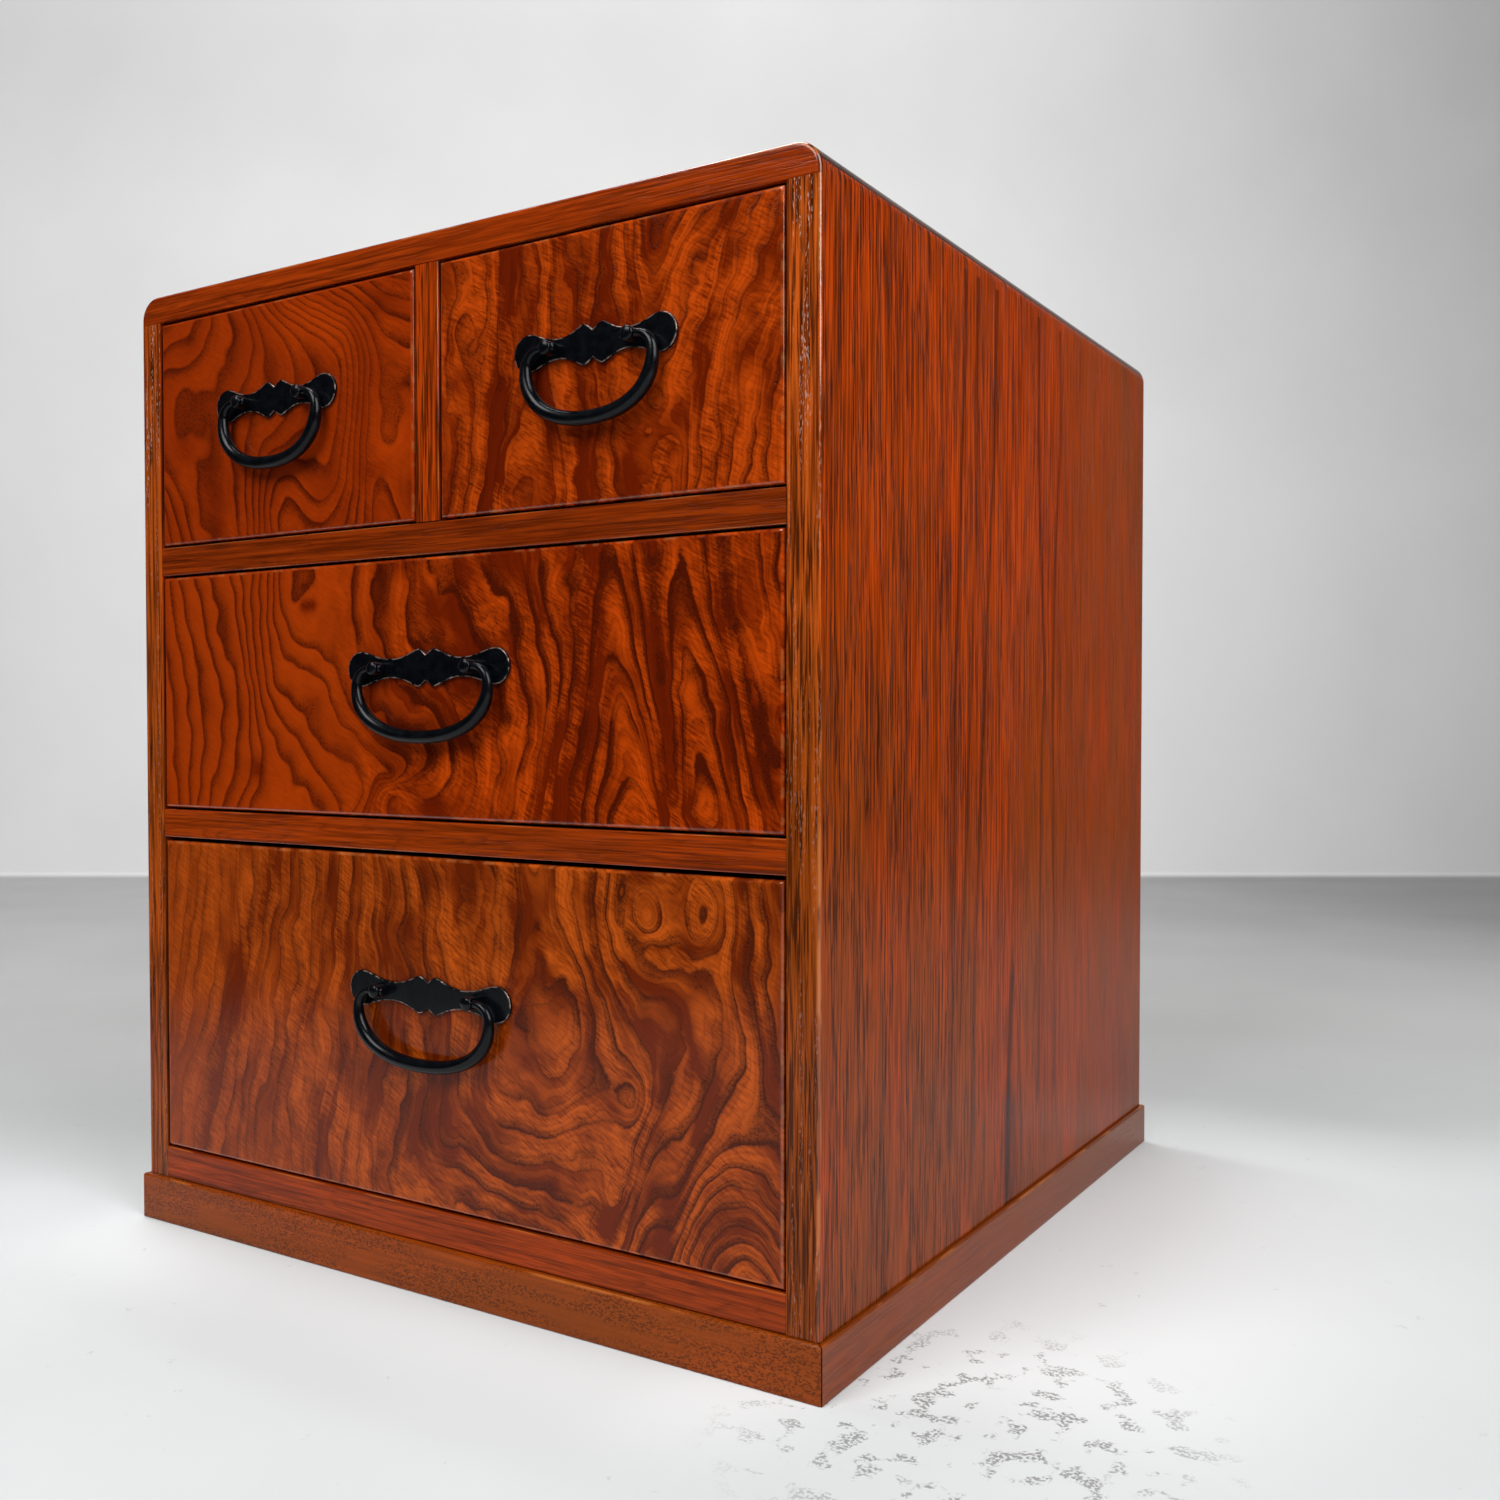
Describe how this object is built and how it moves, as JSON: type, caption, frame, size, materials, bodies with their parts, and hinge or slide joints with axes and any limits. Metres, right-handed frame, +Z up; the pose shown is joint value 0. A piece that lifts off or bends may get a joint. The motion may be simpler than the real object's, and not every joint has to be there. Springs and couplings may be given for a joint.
{
  "type": "drawer cabinet",
  "caption": "Small lacquered wooden chest: half-width drawers over full-width ones, iron drop handles on shaped plates, rounded top ends, low plinth.",
  "frame": {"origin": "floor level, under the middle of the whole chest's box, handles included", "axes": "+Z up, the drawers face -Y, +X to the right as seen from the front"},
  "size_m": [0.354, 0.3644, 0.416],
  "materials": {
    "figured_wood": "figured hardwood under clear red-brown lacquer, glossy",
    "case_wood": "straight-grained hardwood under clear red-brown lacquer, glossy",
    "pale_wood": "bare pale softwood, matt",
    "black_iron": "blackened, satin, worn bright along the edges"
  },
  "bodies": {
    "case": {"top_panel": "case_wood", "side_panel_left": "case_wood", "side_panel_right": "case_wood", "back_panel": "pale_wood", "bottom_board": "pale_wood", "lower_shelf": "pale_wood", "upper_shelf": "pale_wood", "bottom_rail": "case_wood", "lower_rail": "case_wood", "upper_rail": "case_wood", "centre_partition": "case_wood", "plinth_front": "case_wood", "plinth_back": "case_wood", "plinth_left": "case_wood", "plinth_right": "case_wood"},
    "top_left_drawer": {"top_left_drawer_front": "figured_wood", "top_left_drawer_side_left": "pale_wood", "top_left_drawer_side_right": "pale_wood", "top_left_drawer_back": "pale_wood", "top_left_drawer_bottom": "pale_wood", "top_left_handle_plate": "black_iron", "top_left_handle_post_left": "black_iron", "top_left_handle_post_right": "black_iron"},
    "top_left_bail": {"top_left_handle_bail": "black_iron"},
    "top_right_drawer": {"top_right_drawer_front": "figured_wood", "top_right_drawer_side_left": "pale_wood", "top_right_drawer_side_right": "pale_wood", "top_right_drawer_back": "pale_wood", "top_right_drawer_bottom": "pale_wood", "top_right_handle_plate": "black_iron", "top_right_handle_post_left": "black_iron", "top_right_handle_post_right": "black_iron"},
    "top_right_bail": {"top_right_handle_bail": "black_iron"},
    "middle_drawer": {"middle_drawer_front": "figured_wood", "middle_drawer_side_left": "pale_wood", "middle_drawer_side_right": "pale_wood", "middle_drawer_back": "pale_wood", "middle_drawer_bottom": "pale_wood", "middle_handle_plate": "black_iron", "middle_handle_post_left": "black_iron", "middle_handle_post_right": "black_iron"},
    "middle_bail": {"middle_handle_bail": "black_iron"},
    "bottom_drawer": {"bottom_drawer_front": "figured_wood", "bottom_drawer_side_left": "pale_wood", "bottom_drawer_side_right": "pale_wood", "bottom_drawer_back": "pale_wood", "bottom_drawer_bottom": "pale_wood", "bottom_handle_plate": "black_iron", "bottom_handle_post_left": "black_iron", "bottom_handle_post_right": "black_iron"},
    "bottom_bail": {"bottom_handle_bail": "black_iron"}
  },
  "joints": [
    {"name": "top_left_drawer_slide", "type": "slide", "parent": "case", "child": "top_left_drawer", "axis": [0, -1, 0], "range_m": [0, 0.25]},
    {"name": "top_left_bail_swing", "type": "hinge", "parent": "top_left_drawer", "child": "top_left_bail", "pos_m": [-0.08585, -0.17925, 0.3613], "axis": [-1, 0, 0], "range_deg": [-2, 165]},
    {"name": "top_right_drawer_slide", "type": "slide", "parent": "case", "child": "top_right_drawer", "axis": [0, -1, 0], "range_m": [0, 0.25]},
    {"name": "top_right_bail_swing", "type": "hinge", "parent": "top_right_drawer", "child": "top_right_bail", "pos_m": [0.08245, -0.17925, 0.3613], "axis": [-1, 0, 0], "range_deg": [-2, 165]},
    {"name": "middle_drawer_slide", "type": "slide", "parent": "case", "child": "middle_drawer", "axis": [0, -1, 0], "range_m": [0, 0.25]},
    {"name": "middle_bail_swing", "type": "hinge", "parent": "middle_drawer", "child": "middle_bail", "pos_m": [0, -0.17925, 0.247], "axis": [-1, 0, 0], "range_deg": [-2, 165]},
    {"name": "bottom_drawer_slide", "type": "slide", "parent": "case", "child": "bottom_drawer", "axis": [0, -1, 0], "range_m": [0, 0.25]},
    {"name": "bottom_bail_swing", "type": "hinge", "parent": "bottom_drawer", "child": "bottom_bail", "pos_m": [0, -0.17925, 0.1186], "axis": [-1, 0, 0], "range_deg": [-2, 165]}
  ]
}
